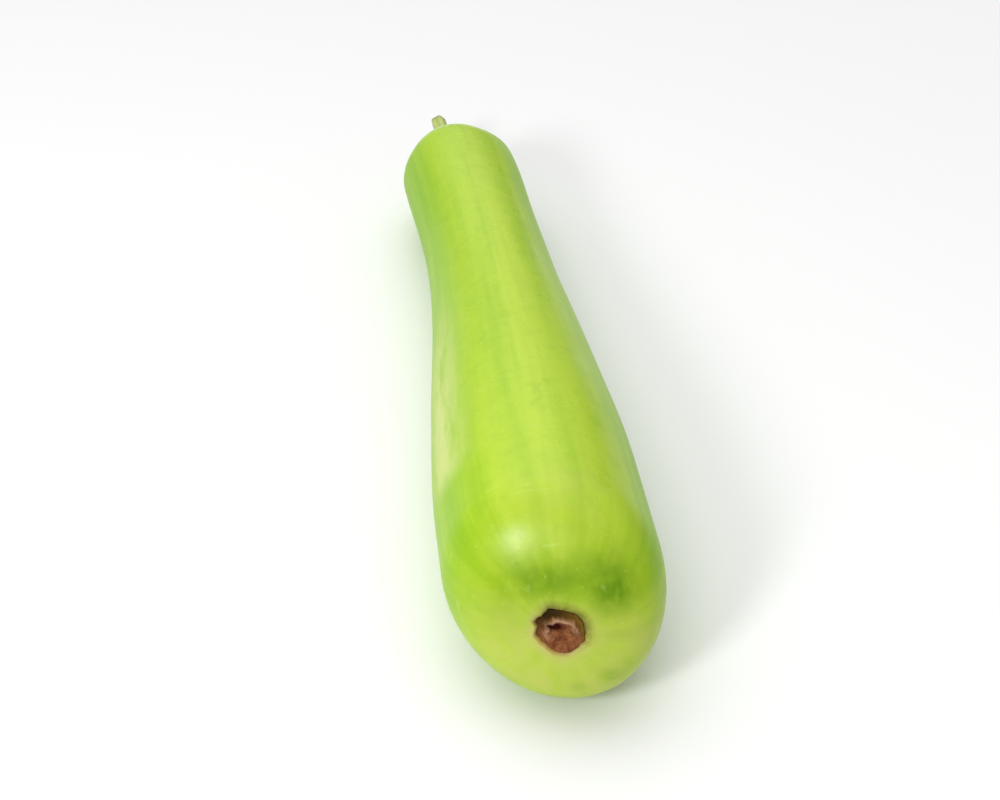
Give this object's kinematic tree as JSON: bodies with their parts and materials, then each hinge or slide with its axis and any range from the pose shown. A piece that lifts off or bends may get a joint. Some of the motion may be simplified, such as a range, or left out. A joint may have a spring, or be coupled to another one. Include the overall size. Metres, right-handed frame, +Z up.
{
  "type": "bottle gourd",
  "caption": "Long pale green bottle gourd lying on its side, with a full blossom end, a tapering bent neck, a lobed shoulder, a short cut stem and a dried brown blossom scar.",
  "frame": {"origin": "on the surface that the gourd lies on, under the middle of the whole gourd's box", "axes": "+Z up, +Y along the gourd towards its stem, -Y towards its blossom end, +X across"},
  "size_m": [0.0886, 0.44, 0.089],
  "materials": {
    "skin": "smooth waxy pale green skin, soft gloss",
    "stem": "fibrous pale green stalk, dry at its cut end",
    "scar": "dry brown cork, matt"
  },
  "bodies": {
    "root": {"fruit": "skin", "stem": "stem", "blossom_scar": "scar"}
  },
  "joints": []
}
